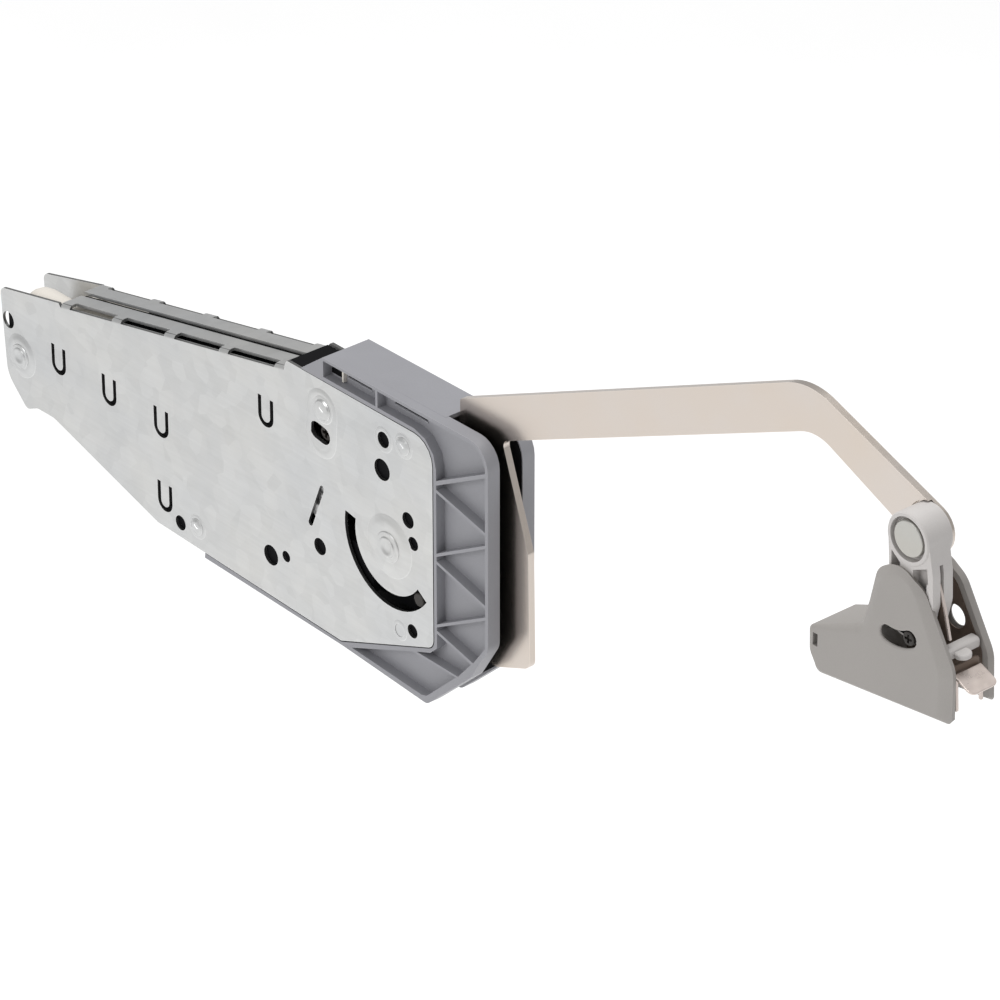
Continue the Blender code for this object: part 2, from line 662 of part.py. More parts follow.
def lift_arm():
    drive = math.radians(DRIVE_ANGLE)
    dx = TRACK_R * math.cos(drive)
    dz = TRACK_R * math.sin(drive)
    bm = bmesh.new()
    slab(bm, arm_outline(), ARM_Y0, ARM_Y0 + ARM_T,
         [circle(0.0, 0.0, PIVOT_R + 0.1, 48), circle(dx, dz, DRIVE_R + GAP, 24), circle(*ARM_END, 3.9, 24)])
    arm = finish("lift_arm", bm, "nickel_arm", (0.0, 0.0, 0.0))
    seat = bmesh.new()
    turned(seat, [(ARM_Y0 - 1.0, SEAT_R), (SEAT_FLOOR, SEAT_R)], across(*ARM_END), 48)
    hollow(arm, seat)
    bm = bmesh.new()
    turned(bm, [(0.35, 2.3), (0.6, DRIVE_R), (BODY_W - 0.6, DRIVE_R), (BODY_W - 0.35, 2.3)], across(dx, dz), 24)
    finish("drive_pin", bm, "dark_steel", (0.0, 0.0, 0.0))
    ring = circle(0.0, 0.0, PIVOT_R + 0.1, 48)
    far = ARM_Y0 + ARM_T + GAP
    for name, y0, y1 in (("hub_spacer_near", 2.0, ARM_Y0 - GAP), ("hub_spacer_far", far, BODY_W - 2.0)):
        bm = bmesh.new()
        slab(bm, circle(0.0, 0.0, 8.0, 48), y0, y1, [ring])
        finish(name, bm, "black_plastic", (0.0, 0.0, 0.0))
    bm = bmesh.new()
    back = ARM_Y0 + ARM_T + GAP
    turned(bm, [(-0.2, 6.2), (0.1, 6.5), (2.0, 6.5), (2.0, 3.6), (back, 3.6), (back, 5.4), (back + 1.2, 5.0),
                (back + 1.5, 4.0)], across(*ARM_END), 32)
    finish("door_pin", bm, "bright_steel", (0.0, 0.0, 0.0))


# ---------------------------------------------------------------- door link
def door_link():
    px, pz = ARM_END
    turns = [math.radians(a) for a in range(180, -1, -15)]
    head = [(px + 9.4 * math.cos(a), pz + 9.4 * math.sin(a)) for a in turns]
    side = fillet([head[-1], (272.4, 108.0, 6.0), (273.0, 97.0, 8.0), (268.4, 76.8, 4.0), (252.6, 78.2, 4.0),
                   (251.0, 90.0, 4.0), (252.9, 102.0, 6.0), head[0]], 4)
    bm = bmesh.new()
    slab(bm, head + side[1:-1], LINK_Y0, LINK_Y1, [circle(*SCREW_POS, 2.1, 16), circle(*TILT_AXIS, 2.9, 24)])
    link = finish("door_link", bm, "link_plastic", (px, 0.0, pz))
    boss_ring = bmesh.new()
    turned(boss_ring, [(-0.4, 9.0), (0.1, 9.4), (SEAT_FLOOR - GAP, 9.4)], across(px, pz), 48)
    join_solid(link, boss_ring)
    cut = bmesh.new()
    box(cut, 245.0, 280.0, -1.0, 4.0, 70.0, 92.0)
    turned(cut, [(-1.0, 7.9), (2.3, 7.9), (2.3, 3.9), (12.0, 3.9)], across(px, pz), 48)
    slab(cut, [(253.4, 110.4), (257.6, 107.2), (258.4, 92.5), (254.2, 92.5)], -1.0, 3.4)
    slab(cut, [(263.4, 107.0), (269.8, 110.0), (271.4, 97.5), (267.4, 92.5), (263.8, 92.5)], -1.0, 3.4)
    hollow(link, cut)
    groove = bmesh.new()
    box(groove, 268.0, 276.0, 3.7, 5.3, 74.0, 110.8)
    hollow(link, groove)
    bm = bmesh.new()
    slab(bm, [(270.9, 103.4), (271.5, 103.6), (274.6, 95.4), (277.4, 85.1), (272.6, 85.1), (270.4, 95.0)],
         4.0, 5.0)
    finish("link_blade", bm, "bright_steel", (px, 0.0, pz))
    bm = bmesh.new()
    turned(bm, [(-1.4, 2.2), (-1.2, 2.55), (-0.1, 2.55), (-0.1, 1.8), (7.0, 1.8)], across(*SCREW_POS), 24)
    screw = finish("tilt_screw", bm, "dark_steel", (SCREW_POS[0], 0.0, SCREW_POS[1]))
    recess = bmesh.new()
    cross_recess(recess, *SCREW_POS, 0.45, 1.6, -2.0, -0.6)
    hollow(screw, recess)
    bm = bmesh.new()
    turned(bm, [(0.2, 2.3), (0.5, 2.6), (16.1, 2.6), (16.4, 2.3)], across(*TILT_AXIS), 32)
    finish("tilt_pin", bm, "bright_steel", (TILT_AXIS[0], 0.0, TILT_AXIS[1]))


# ---------------------------------------------------------------- clip-on door bracket
def cover_outline():
    return fillet([
        (219.0, 67.0, 2.0), (219.3, 57.5, 6.0), (223.4, 51.3, 3.0), (284.9, 59.1, 2.5), (283.7, 78.0, 12.0),
        (270.4, 101.2, 10.0), (258.5, 109.0, 10.5), (249.4, 101.6, 8.0), (243.0, 77.6, 6.0),
    ], 6)


def door_bracket():
    y1 = COVER_Y0 + COVER_W
    in0 = COVER_Y0 + COVER_WALL
    in1 = y1 - COVER_WALL
    tx, tz = TILT_AXIS
    px, pz = SCREW_POS
    bm = bmesh.new()
    slab(bm, cover_outline(), COVER_Y0, y1)
    cover = finish("bracket_cover", bm, "cover_plastic", (tx, 0.0, tz))
    cut = bmesh.new()
    slab(cut, fillet([
        (221.2, 65.2, 1.5), (221.4, 58.0, 4.0), (224.6, 48.0), (292.0, 48.0), (292.0, 112.0), (246.0, 112.0),
        (246.0, 88.0), (241.6, 74.8, 5.0),
    ], 4), in0, in1)
    hollow(cover, cut)
    windows = bmesh.new()
    slab(windows, curved_slot(tx, tz, TILT_TRACK_R, 3.0, 262.0, 303.0), COVER_Y0 - 1.0, in0 + 1.0)
    turned(windows, [(in1 - 1.0, 3.9), (y1 + 1.0, 3.9)], across(*EAR_HOLE), 32)
    box(windows, 220.6, 223.3, COVER_Y0 - 1.0, in0 + 1.0, 60.8, 66.0)
    hollow(cover, windows)

    lean = math.tan(COVER_TILT)
    bm = bmesh.new()
    rise = (BASE_X1 - 225.4) * lean
    slab(bm, [(225.4, 53.4), (BASE_X1, 53.4 + rise), (BASE_X1 - 0.2, 55.0 + rise), (225.2, 55.0)],
         in0 + GAP, in1 - GAP)
    finish("bracket_base", bm, "bright_steel", (tx, 0.0, tz))

    bm = bmesh.new()
    slab(bm, fillet([(274.6, 78.3, 1.4), (279.2, 78.3, 1.4), (279.2, 82.5, 1.4), (274.6, 82.5, 1.4)], 3),
         in0 + GAP, in1 - GAP)
    crossbar = finish("bracket_crossbar", bm, "link_plastic", (tx, 0.0, tz))
    tongue = bmesh.new()
    turned(tongue, [(0.0, 2.7), (0.4, 3.1), (1.6, 3.1), (2.0, 2.7)],
           Matrix.Translation(point(280.2, 7.5, 79.2)), 24)
    join_solid(crossbar, tongue)

    bm = bmesh.new()
    slab(bm, [(282.6, 75.0), (290.6, 72.2), (290.3, 71.2), (283.2, 73.6), (281.2, 73.6), (281.2, 70.0),
              (280.0, 70.0), (280.0, 77.4), (281.2, 77.4), (281.2, 75.0)], in0 + 1.8, in1 - 1.8)
    lever = finish("release_lever", bm, "yellow_zinc", (LEVER_AXIS[0], 0.0, LEVER_AXIS[1]))
    for y0, y1 in ((in0 + GAP, in0 + 2.0), (in1 - 2.0, in1 - GAP)):
        leg = bmesh.new()
        slab(leg, [(280.0, 73.6), (283.4, 73.4), (283.8, 63.0), (285.0, 63.0), (284.9, 74.0), (282.6, 75.0),
                   (280.0, 75.0)], y0, y1)
        join_solid(lever, leg)


def main():
    clear_scene()
    side_plate("near_side_plate", "near")
    side_plate("far_side_plate", "far")
    housing_half("front_housing_near", "near")
    housing_half("front_housing_far", "far")
    pins()
    spring_pack()
    damper()
    adjuster()
    lift_arm()
    door_link()
    door_bracket()


main()
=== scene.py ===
"""Looks for the lift-up flap stay: finish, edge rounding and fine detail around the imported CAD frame.

Everything is in metres in the row frame: origin on the main pivot axis at the bearing face, +X to the
door, +Z up, +Y into the cabinet side. Depths called `depth` are counted from the open plate's outer face.
"""

import json
import math

import bmesh
import bpy
from mathutils import Matrix, Vector


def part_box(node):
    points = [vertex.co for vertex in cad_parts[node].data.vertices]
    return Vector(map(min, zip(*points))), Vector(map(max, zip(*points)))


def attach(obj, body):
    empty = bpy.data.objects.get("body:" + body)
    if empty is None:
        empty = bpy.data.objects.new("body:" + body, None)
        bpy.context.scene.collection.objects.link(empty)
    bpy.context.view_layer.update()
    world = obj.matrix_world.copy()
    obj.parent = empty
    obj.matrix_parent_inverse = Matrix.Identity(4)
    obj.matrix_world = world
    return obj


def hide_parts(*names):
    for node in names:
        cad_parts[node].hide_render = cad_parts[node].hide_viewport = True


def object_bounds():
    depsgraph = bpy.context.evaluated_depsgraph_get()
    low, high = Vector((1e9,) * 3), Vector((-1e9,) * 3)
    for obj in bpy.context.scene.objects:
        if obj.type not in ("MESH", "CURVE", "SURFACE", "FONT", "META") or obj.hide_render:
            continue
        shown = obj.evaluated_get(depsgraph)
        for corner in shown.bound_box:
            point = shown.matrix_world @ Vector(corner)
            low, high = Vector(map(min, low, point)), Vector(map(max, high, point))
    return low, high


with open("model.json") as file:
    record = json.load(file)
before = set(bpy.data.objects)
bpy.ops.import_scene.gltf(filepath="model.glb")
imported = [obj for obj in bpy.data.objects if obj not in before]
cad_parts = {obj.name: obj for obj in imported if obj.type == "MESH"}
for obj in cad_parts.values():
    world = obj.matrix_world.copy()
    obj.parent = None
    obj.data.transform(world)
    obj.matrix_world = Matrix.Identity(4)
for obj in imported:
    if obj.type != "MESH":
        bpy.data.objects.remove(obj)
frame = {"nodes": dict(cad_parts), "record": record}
CAD_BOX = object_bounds()
NODES = frame["nodes"]
MM = 0.001

# ---------------------------------------------------------------- places read from the frame
BOSS = 0.7               # the near plate's pivot bosses stand this far out
BODY_W = (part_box("far_side_plate")[1].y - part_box("near_side_plate")[0].y) / MM - BOSS
SHEET = 1.3              # side plate thickness
SLOPE = math.radians(11.8)  # fall of the plates' top edge towards the rear
TOP_EDGE_FRONT = (-59.6, 50.0)  # front end of that sloping edge: x, z


def centre(node):
    """Middle of a node's box across the body: (x, z) in millimetres."""
    low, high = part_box(node)
    return ((low.x + high.x) / 2 / MM, (low.z + high.z) / 2 / MM)


MAIN_PIVOT = centre("main_pivot_pin")
REAR_PIVOT = centre("rear_pivot_pin")
UPPER_RIVET = centre("upper_rivet")
LOWER_RIVET = centre("lower_rivet")
FRONT_RIVET = centre("front_rivet")
TILT_AXIS = centre("tilt_pin")
TILT_SCREW = centre("tilt_screw")
HOUSING_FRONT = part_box("front_housing_near")[1].x / MM
DECK_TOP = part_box("front_housing_near")[1].z / MM


def point(x, depth, z):
    """Millimetres, with depth counted from the open plate's outer face, to row-frame metres."""
    return Vector((x, depth - BODY_W, z)) * MM


def top_line(x):
    """Height of the plates' sloping top edge at x."""
    return TOP_EDGE_FRONT[1] + math.tan(SLOPE) * (x - TOP_EDGE_FRONT[0])


# ---------------------------------------------------------------- material tools
def new_material(name):
    mat = bpy.data.materials.new(name)
    mat.use_nodes = True
    return mat, mat.node_tree, mat.node_tree.nodes["Principled BSDF"]


def add(tree, kind, **values):
    """New shader node, with its sockets and properties set by name."""
    node = tree.nodes.new(kind)
    for key, value in values.items():
        if key in node.inputs:
            node.inputs[key].default_value = value
        else:
            setattr(node, key, value)
    return node


def ramp(tree, source, stops):
    node = tree.nodes.new("ShaderNodeValToRGB")
    spots = node.color_ramp.elements
    while len(spots) < len(stops):
        spots.new(0.5)
    for spot, (place, colour) in zip(spots, stops):
        spot.position = place
        spot.color = (*colour, 1.0)
    tree.links.new(source, node.inputs["Fac"])
    return node.outputs["Color"]


def grey(value):
    return (value, value, value)


def object_space(tree, stretch=(1.0, 1.0, 1.0)):
    coord = tree.nodes.new("ShaderNodeTexCoord")
    place = tree.nodes.new("ShaderNodeMapping")
    place.inputs["Scale"].default_value = stretch
    tree.links.new(coord.outputs["Object"], place.inputs["Vector"])
    return place.outputs["Vector"]


def noise(tree, space, scale, detail=3.0, rough=0.55):
    node = add(tree, "ShaderNodeTexNoise", Scale=scale, Detail=detail, Roughness=rough)
    tree.links.new(space, node.inputs["Vector"])
    return node.outputs["Fac"]


def mix(tree, fac, a, b, mode="MIX"):
    node = tree.nodes.new("ShaderNodeMix")
    node.data_type = "RGBA"
    node.blend_type = mode
    for socket, value in ((node.inputs[0], fac), (node.inputs[6], a), (node.inputs[7], b)):
        if isinstance(value, bpy.types.NodeSocket):
            tree.links.new(value, socket)
        elif isinstance(value, tuple):
            socket.default_value = (*value, 1.0)
        else:
            socket.default_value = value
    return node.outputs[2]


def math_node(tree, operation, first, second=None):
    node = add(tree, "ShaderNodeMath", operation=operation)
    for socket, value in zip(node.inputs, (first, second)):
        if isinstance(value, bpy.types.NodeSocket):
            tree.links.new(value, socket)
        elif value is not None:
            socket.default_value = value
    return node.outputs[0]


EDGE_REACH = 0.0005          # metres that the wear reaches in from an edge


def edge_mask(tree):
    """White along edges: where the surface normal and a widely rounded one part."""
    geo = tree.nodes.new("ShaderNodeNewGeometry")
    rounded = add(tree, "ShaderNodeBevel", Radius=EDGE_REACH, samples=4)
    along = add(tree, "ShaderNodeVectorMath", operation="DOT_PRODUCT")
    tree.links.new(geo.outputs["Normal"], along.inputs[0])
    tree.links.new(rounded.outputs["Normal"], along.inputs[1])
    apart = add(tree, "ShaderNodeMath", operation="SUBTRACT")
    apart.inputs[0].default_value = 1.0
    tree.links.new(along.outputs["Value"], apart.inputs[1])
    return ramp(tree, apart.outputs["Value"], [(0.02, grey(0.0)), (0.22, grey(1.0))])


def bump(tree, shader, height, strength, distance):
    node = add(tree, "ShaderNodeBump", Strength=strength, Distance=distance)
    tree.links.new(height, node.inputs["Height"])
    tree.links.new(node.outputs["Normal"], shader.inputs["Normal"])


def scaled(colour, k):
    return tuple(min(1.0, c * k) for c in colour)


# ---------------------------------------------------------------- materials
INNER_MARGIN = 0.02          # the mask stops this far short of each sheet's inner face, mm


def wall_shade_mask(tree):
    """White on the walls of the side plates' outlines and holes, black on their faces: where painted shade
    darkens the plates.
    """
    coord = tree.nodes.new("ShaderNodeTexCoord")
    place = tree.nodes.new("ShaderNodeSeparateXYZ")
    tree.links.new(coord.outputs["Object"], place.inputs[0])
    facing = tree.nodes.new("ShaderNodeSeparateXYZ")
    tree.links.new(coord.outputs["Normal"], facing.inputs[0])
    upright = math_node(tree, "LESS_THAN", math_node(tree, "ABSOLUTE", facing.outputs["Y"]), 0.5)
    near = math_node(tree, "LESS_THAN", place.outputs["Y"], (SHEET - INNER_MARGIN - BODY_W) * MM)
    inside = math_node(tree, "GREATER_THAN", place.outputs["Y"], (-BOSS - BODY_W) * MM)
    far = math_node(tree, "GREATER_THAN", place.outputs["Y"], (INNER_MARGIN - SHEET) * MM)
    within = math_node(tree, "MAXIMUM", math_node(tree, "MULTIPLY", near, inside), far)
    return math_node(tree, "MULTIPLY", upright, within)


def galvanised(name, colour, rough=0.36, metal=0.85):
    """Zinc-coated sheet: soft crystal spangle, rolling streaks, handling marks, and painted shade on the
    plates' edge walls.
    """
    mat, tree, shader = new_material(name)
    space = object_space(tree)
    cells = add(tree, "ShaderNodeTexVoronoi", Scale=150.0, Randomness=1.0)
    tree.links.new(space, cells.inputs["Vector"])
    cell_tone = ramp(tree, cells.outputs["Color"], [(0.0, grey(0.94)), (1.0, grey(1.04))])
    streaks = noise(tree, object_space(tree, (30.0, 30.0, 700.0)), 1.0, 6.0)
    streak_tone = ramp(tree, streaks, [(0.3, grey(0.965)), (0.7, grey(1.02))])
    clouds = noise(tree, space, 26.0, 3.0)
    cloud_tone = ramp(tree, clouds, [(0.3, (0.93, 0.94, 0.955)), (0.7, (1.02, 1.015, 1.0))])
    base = mix(tree, 1.0, mix(tree, 1.0, cell_tone, streak_tone, "MULTIPLY"), cloud_tone, "MULTIPLY")
    tinted = mix(tree, 1.0, base, colour, "MULTIPLY")
    worn = mix(tree, edge_mask(tree), tinted, scaled(colour, 1.3))
    # painted shade: the side plates' walls and holes are drawn much darker
    wall_shaded = mix(tree, wall_shade_mask(tree), worn, scaled(colour, 0.3))
    tree.links.new(wall_shaded, shader.inputs["Base Color"])
    shade = ramp(tree, noise(tree, space, 90.0, 4.0), [(0.3, grey(rough - 0.05)), (0.7, grey(rough + 0.06))])
    tree.links.new(shade, shader.inputs["Roughness"])
    shader.inputs["Metallic"].default_value = metal
    shader.inputs["Specular IOR Level"].default_value = 0.5
    bump(tree, shader, noise(tree, space, 1400.0, 2.0), 0.12, 0.0002)
    return mat


def plated(name, colour, rough=0.3, metal=0.6, grain=(9.0, 900.0, 900.0), tone=0.05, relief=0.06):
    """Plated steel with a fine drawn grain, faint tint shifts and bright worn edges."""
    mat, tree, shader = new_material(name)
    lines = noise(tree, object_space(tree, grain), 1.0, 4.0, 0.6)
    line_tone = ramp(tree, lines, [(0.3, grey(1.0 - tone)), (0.7, grey(1.0 + 0.5 * tone))])
    clouds = noise(tree, object_space(tree), 34.0, 3.0)
    cloud_tone = ramp(tree, clouds, [(0.3, (1.0, 0.975, 0.95)), (0.7, (1.0, 1.0, 1.01))])
    base = mix(tree, 1.0, mix(tree, 1.0, line_tone, cloud_tone, "MULTIPLY"), colour, "MULTIPLY")
    worn = mix(tree, edge_mask(tree), base, scaled(colour, 1.2))
    tree.links.new(worn, shader.inputs["Base Color"])
    shade = ramp(tree, lines, [(0.3, grey(rough - 1.2 * tone)), (0.7, grey(rough + 1.4 * tone))])
    tree.links.new(shade, shader.inputs["Roughness"])
    shader.inputs["Metallic"].default_value = metal
    bump(tree, shader, lines, relief, 0.0001)
    return mat


def moulded(name, colour, rough=0.45, texture=0.18, edge=1.16, specular=0.4):
    """Injection-moulded plastic: spark-eroded satin grain, faint flow clouds and paler rubbed edges."""
    mat, tree, shader = new_material(name)
    space = object_space(tree)
    clouds = noise(tree, space, 40.0, 3.0)
    cloud_tone = ramp(tree, clouds, [(0.3, grey(0.965)), (0.7, grey(1.025))])
    speckle = ramp(tree, noise(tree, space, 2600.0, 2.0), [(0.35, grey(0.975)), (0.65, grey(1.02))])
    base = mix(tree, 1.0, mix(tree, 1.0, cloud_tone, speckle, "MULTIPLY"), colour, "MULTIPLY")
    worn = mix(tree, edge_mask(tree), base, scaled(colour, edge))
    tree.links.new(worn, shader.inputs["Base Color"])
    shade = ramp(tree, clouds, [(0.3, grey(rough - 0.04)), (0.7, grey(rough + 0.06))])
    tree.links.new(shade, shader.inputs["Roughness"])
    shader.inputs["Specular IOR Level"].default_value = specular
    bump(tree, shader, noise(tree, space, 3200.0, 3.0), texture, 0.0001)
    return mat


def scraped(name):
    """Bright plated metal with dark greasy smears."""
    mat, tree, shader = new_material(name)
    smears = noise(tree, object_space(tree, (420.0, 420.0, 260.0)), 1.0, 3.0)
    tree.links.new(ramp(tree, smears, [(0.42, grey(0.05)), (0.56, grey(0.85))]), shader.inputs["Base Color"])
    tree.links.new(ramp(tree, smears, [(0.3, grey(0.55)), (0.7, grey(0.3))]), shader.inputs["Roughness"])
    shader.inputs["Metallic"].default_value = 0.2
    return mat


EVEN_GRAIN = (300.0, 300.0, 300.0)
DRAWN_GRAIN = (160.0, 160.0, 700.0)


def make_materials():
    return {
        "scraped_steel": scraped("steel_scraped"),
        "zinc_sheet": galvanised("sheet_galvanised", (0.60, 0.602, 0.597)),
        "grey_housing": moulded("housing_grey_moulded", (0.30, 0.30, 0.322)),
        "nickel_arm": plated("arm_nickel", (0.61, 0.555, 0.505), 0.26, 1.0, DRAWN_GRAIN, 0.008, 0.0),
        "bright_steel": plated("steel_bright_zinc", (0.50, 0.495, 0.465), 0.33, 0.7, EVEN_GRAIN, 0.04),
        "dark_steel": plated("steel_dark_oiled", (0.03, 0.026, 0.023), 0.5, 0.3, EVEN_GRAIN),
        "spring_steel": plated("steel_spring_wire", (0.12, 0.115, 0.11), 0.3, 0.8, (500.0, 500.0, 500.0)),
        "white_plastic": moulded("plastic_off_white", (0.74, 0.70, 0.64), 0.5, 0.12, 1.08),
        "link_plastic": moulded("plastic_light_grey", (0.60, 0.575, 0.56), 0.42, 0.1, 1.1),
        "cover_plastic": moulded("plastic_warm_grey", (0.36, 0.34, 0.322), 0.48, 0.14, 1.14),
        "yellow_zinc": plated("steel_warm_plated", (0.70, 0.62, 0.575), 0.3, 0.6, EVEN_GRAIN, 0.04),
        "black_plastic": moulded("plastic_black", (0.02, 0.02, 0.02), 0.5, 0.12, 1.3),
        "brown_shade": plated("steel_warm_shaded", (0.16, 0.12, 0.095), 0.4, 0.5, EVEN_GRAIN),
        # painted shade: near-black finish for sheets and parts that stand where the body's inside lies in
        # shade
        "painted_shade": moulded("painted_shade_black", (0.006, 0.006, 0.007), 0.7, 0.1, 1.2, 0.08),
    }


MATERIALS = make_materials()


# ---------------------------------------------------------------- softened edges for CAD nodes
SHARP = math.radians(30.0)   # edges that turn more than this count as sharp
WELD_REACH = 0.00001         # metres


def smooth_group():
    """Geometry nodes: smooth faces, with sharp edges kept."""
    group = bpy.data.node_groups.new("smooth_by_angle", "GeometryNodeTree")
    group.interface.new_socket("Geometry", in_out="INPUT", socket_type="NodeSocketGeometry")
    group.interface.new_socket("Geometry", in_out="OUTPUT", socket_type="NodeSocketGeometry")
    enter = group.nodes.new("NodeGroupInput")
    leave = group.nodes.new("NodeGroupOutput")
    faces = group.nodes.new("GeometryNodeSetShadeSmooth")
    faces.domain = "FACE"
    edges = group.nodes.new("GeometryNodeSetShadeSmooth")
    edges.domain = "EDGE"
    edges.inputs["Shade Smooth"].default_value = False
    angle = group.nodes.new("GeometryNodeInputMeshEdgeAngle")
    over = group.nodes.new("FunctionNodeCompare")
    over.data_type = "FLOAT"
    over.operation = "GREATER_THAN"
    over.inputs[1].default_value = SHARP
    group.links.new(angle.outputs["Unsigned Angle"], over.inputs[0])
    group.links.new(over.outputs[0], edges.inputs["Selection"])
    group.links.new(enter.outputs[0], faces.inputs["Geometry"])
    group.links.new(faces.outputs[0], edges.inputs["Geometry"])
    group.links.new(edges.outputs[0], leave.inputs[0])
    return group


SMOOTH = smooth_group()


def soften(obj, width):
    """Join the facets, round the sharp edges to `width` millimetres and shade smooth."""
    weld = obj.modifiers.new("weld", "WELD")
    weld.merge_threshold = WELD_REACH
    shade = obj.modifiers.new("shade", "NODES")
    shade.node_group = SMOOTH
    if width > 0.0:
        edge = obj.modifiers.new("edge", "BEVEL")
        edge.width = width * MM
        edge.segments = 2
        edge.limit_method = "ANGLE"
        edge.angle_limit = SHARP
        edge.profile = 0.5
        edge.use_clamp_overlap = True
        edge.miter_outer = "MITER_ARC"
        edge.harden_normals = True
        level = obj.modifiers.new("level", "WEIGHTED_NORMAL")
        level.keep_sharp = True


EDGE_WIDTH = {
    "near_side_plate": 0.22, "far_side_plate": 0.22, "front_housing_near": 0.35, "front_housing_far": 0.35,
    "lift_arm": 0.35, "door_link": 0.45, "bracket_cover": 0.6, "release_lever": 0.3, "bracket_crossbar": 0.4,
    "rear_spring_seat": 0.8, "link_blade": 0.15, "bracket_base": 0.2, "spring_yoke": 0.3, "force_screw": 0.12,
    "tilt_screw": 0.12, "main_pivot_pin": 0.2, "rear_pivot_pin": 0.2, "upper_rivet": 0.2, "lower_rivet": 0.2,
    "front_rivet": 0.2, "door_pin": 0.3,
}


# painted shade: drawn darker than its own slot, because the arc slot in front of it reads black in the photo
SHADED = {"spring_yoke": "painted_shade"}


def dress_nodes():
    slots = {part["node"]: part["material_slot"] for part in frame["record"]["subparts"]}
    for name, obj in NODES.items():
        obj.material_slots[0].material = MATERIALS[SHADED.get(name, slots[name])]
        soften(obj, EDGE_WIDTH.get(name, 0.0))


dress_nodes()


# ---------------------------------------------------------------- mesh tools for added pieces
def stadium(x0, z0, x1, z1, r, n=10):
    """Round-ended loop from one end's centre to the other's."""
    heading = math.atan2(z1 - z0, x1 - x0)
    out = []
    for cx, cz, start in ((x1, z1, heading - math.pi / 2), (x0, z0, heading + math.pi / 2)):
        for k in range(n + 1):
            a = start + math.pi * k / n
            out.append((cx + r * math.cos(a), cz + r * math.sin(a)))
    return out


def circle(x, z, r, n=32):
    return [(x + r * math.cos(math.tau * k / n), z + r * math.sin(math.tau * k / n)) for k in range(n)]


def arc(x, z, r, a0, a1, n=12):
    angles = [math.radians(a0 + (a1 - a0) * k / n) for k in range(n + 1)]
    return [(x + r * math.cos(a), z + r * math.sin(a)) for a in angles]


def curved_slot(x, z, r, half, a0, a1, n=12):
    """Slot of half width `half` along an arc, with round ends."""
    end_x, end_z = arc(x, z, r, a1, a1, 1)[0]
    start_x, start_z = arc(x, z, r, a0, a0, 1)[0]
    return (arc(x, z, r + half, a0, a1, n) + arc(end_x, end_z, half, a1, a1 + 180.0, 8)[1:-1]
            + arc(x, z, r - half, a1, a0, n) + arc(start_x, start_z, half, a0 + 180.0, a0 + 360.0, 8)[1:-1])


def fillet(corners, steps=5):
    """Outline from (x, z) or (x, z, radius) corners, with each radius drawn as an arc of `steps` pieces."""
    out = []
    count = len(corners)
    for i, corner in enumerate(corners):
        here = Vector(corner[:2])
        radius = corner[2] if len(corner) > 2 else 0.0
        if radius <= 0.0:
            out.append(tuple(here))
            continue
        back = (Vector(corners[i - 1][:2]) - here).normalized()
        ahead = (Vector(corners[(i + 1) % count][:2]) - here).normalized()
        half = 0.5 * math.acos(max(-1.0, min(1.0, back.dot(ahead))))
        reach = radius / math.tan(half)
        middle = here + (back + ahead).normalized() * (radius / math.sin(half))
        start = here + back * reach - middle
        turn = start.angle_signed(here + ahead * reach - middle)
        for k in range(steps + 1):
            spoke = Vector(start)
            spoke.rotate(Matrix.Rotation(-turn * k / steps, 2))
            out.append(tuple(middle + spoke))
    return out


def face_outward(bm):
    bmesh.ops.recalc_face_normals(bm, faces=bm.faces)
    if bm.calc_volume(signed=True) < 0.0:
        bmesh.ops.reverse_faces(bm, faces=bm.faces)


def flat_face(bm, loops):
    """Fill between rings of vertices that lie in one plane: the first is the rim, the others are holes."""
    edges = []
    for loop in loops:
        for a, b in zip(loop, loop[1:] + loop[:1]):
            edges.append(bm.edges.get((a, b)) or bm.edges.new((a, b)))
    bmesh.ops.triangle_fill(bm, edges=edges, use_beauty=True)


def bridge(bm, low, high):
    for k in range(len(low)):
        bm.faces.new((low[k - 1], low[k], high[k], high[k - 1]))


def slab(bm, outline, y0, y1, holes=()):
    """Flat solid between two depths with its holes left open."""
    sides = []
    for depth in (y0, y1):
        loops = [[bm.verts.new(point(x, depth, z)) for x, z in loop] for loop in (outline, *holes)]
        flat_face(bm, loops)
        sides.append(loops)
    for low, high in zip(*sides):
        bridge(bm, low, high)


def lathe(bm, profile, x, z, n=48):
    """Solid of revolution about the cross axis at (x, z), from (depth, radius) pairs."""
    rings = [[bm.verts.new(point(px, depth, pz)) for px, pz in circle(x, z, radius, n)]
             for depth, radius in profile]
    for low, high in zip(rings, rings[1:]):
        bridge(bm, low, high)
    bm.faces.new(rings[0])
    bm.faces.new(rings[-1])


def pressed_ring(bm, ends, radius, profile, n=16):
    """Soft raised ring on the open plate: (offset from radius, height) pairs, closed inside the sheet."""
    rings = [[bm.verts.new(point(x, -height, z)) for x, z in stadium(*ends, radius + offset, n)]
             for offset, height in profile]
    for low, high in zip(rings, rings[1:] + rings[:1]):
        bridge(bm, low, high)


def mesh_object(name, bm, material):
    """Put a finished mesh in the scene as an object of one material."""
    mesh = bpy.data.meshes.new(name)
    bm.to_mesh(mesh)
    bm.free()
    mesh.materials.append(material)
    obj = bpy.data.objects.new(name, mesh)
    bpy.context.scene.collection.objects.link(obj)
    return obj


def new_piece(name, bm, material, body, width=0.0, replaced=()):
    """Finish a mesh as a named piece riding on a body."""
    face_outward(bm)
    obj = mesh_object(name, bm, MATERIALS[material])
    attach(obj, body)
    if replaced:
        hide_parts(*replaced)
    soften(obj, width)


# ---------------------------------------------------------------- painted shade: dark sheets inside the body
TRACK = (19.3, 25.3, 170.0, 325.0)      # the drive pin's arc slot: radii and angles
INDICATOR = (-38.3, 7.6, -45.3, -9.8)   # the slanted slot's end centres
FORCE_WINDOW = (-40.6, 31.4, -36.1, 30.7)


SHADE_SHEET_GAP = 0.06            # from the plate's inner face to a painted shade sheet
SHADE_SHEET_BACK = 0.24           # from the plate's inner face to the painted shade sheet's other side
